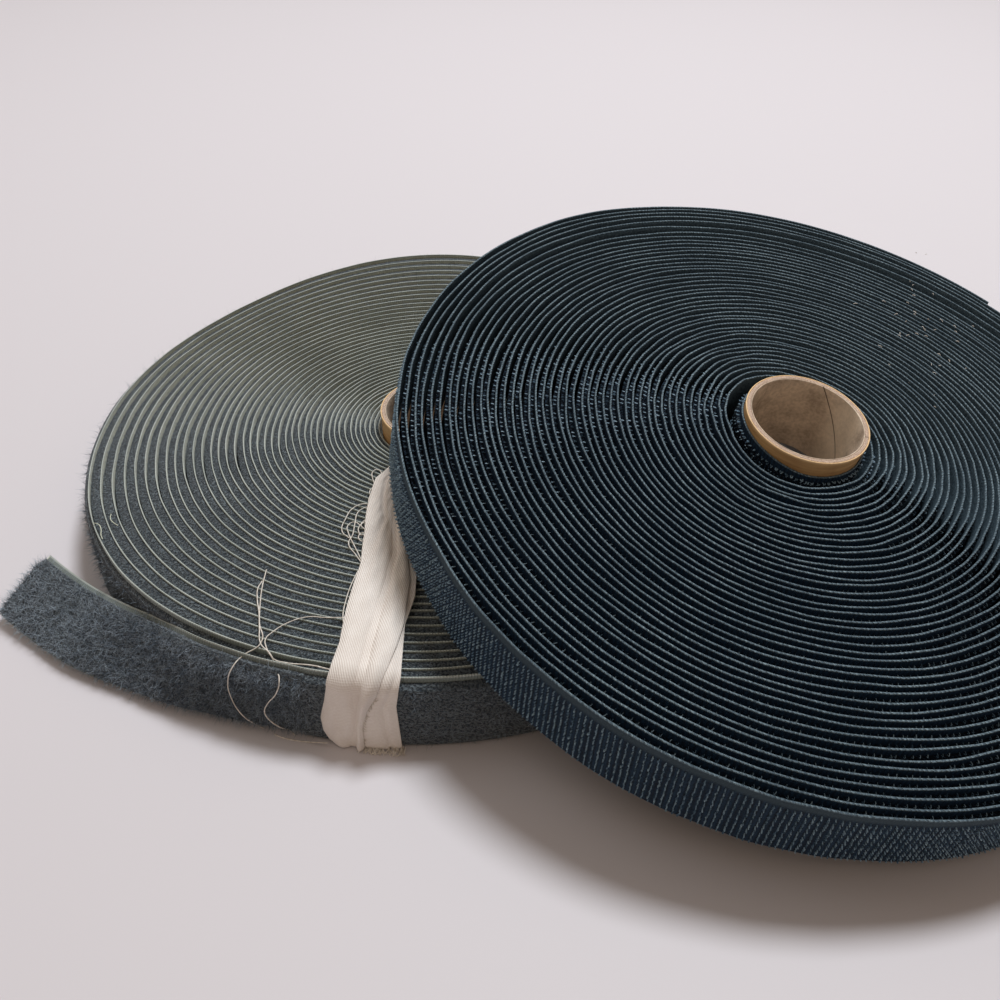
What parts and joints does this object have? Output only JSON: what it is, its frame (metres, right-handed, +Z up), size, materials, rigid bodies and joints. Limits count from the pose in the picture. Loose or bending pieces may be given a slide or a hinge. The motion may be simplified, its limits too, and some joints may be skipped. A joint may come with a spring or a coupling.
{
  "type": "hook and loop tape roll",
  "caption": "Pair of fastening tape rolls on cardboard cores: a pile roll lying flat, its free end peeling away and a cloth tie over its rim, and a hook roll leaning on it.",
  "frame": {"origin": "on the table, under the middle of the pair's bounding box", "axes": "+X from the loop roll's axis towards the hook roll's axis, +Y away from the side where the free end and the tie lie, +Z up along the loop roll's axis"},
  "size_m": [0.384, 0.2752, 0.0747],
  "materials": {
    "hook_tape": "woven navy tape with hooks, semi-matte",
    "loop_tape": "grey-green brushed pile, matte",
    "core_wrap": "kraft paper, matte",
    "core_board": "raw board, matte",
    "core_liner": "brown-grey paper, matte",
    "tie_cloth": "off-white cotton twill, matte"
  },
  "bodies": {
    "loop_roll": {"loop_tape": "loop_tape", "cloth_tie": "tie_cloth"},
    "free_end": {"loop_tape_free_end": "loop_tape"},
    "loop_core": {"loop_core_wrap": "core_wrap", "loop_core_board": "core_board", "loop_core_liner": "core_liner"},
    "hook_roll": {"hook_tape": "hook_tape"},
    "hook_core": {"hook_core_wrap": "core_wrap", "hook_core_board": "core_board", "hook_core_liner": "core_liner"}
  },
  "joints": [
    {"name": "free_end_peel", "type": "hinge", "parent": "loop_roll", "child": "free_end", "pos_m": [-0.06385, -0.13297, 0.012], "axis": [0, 0, 1], "range_deg": [0, 75]},
    {"name": "loop_core_slide", "type": "slide", "parent": "loop_roll", "child": "loop_core", "axis": [0, 0, 1], "range_m": [-0.0028, 0.01]},
    {"name": "hook_roll_lift", "type": "slide", "parent": "loop_roll", "child": "hook_roll", "axis": [0, 0, 1], "range_m": [0, 0.06]},
    {"name": "hook_core_slide", "type": "slide", "parent": "hook_roll", "child": "hook_core", "axis": [0.164, -0.0966, 0.9817], "range_m": [-0.001, 0.026]}
  ]
}
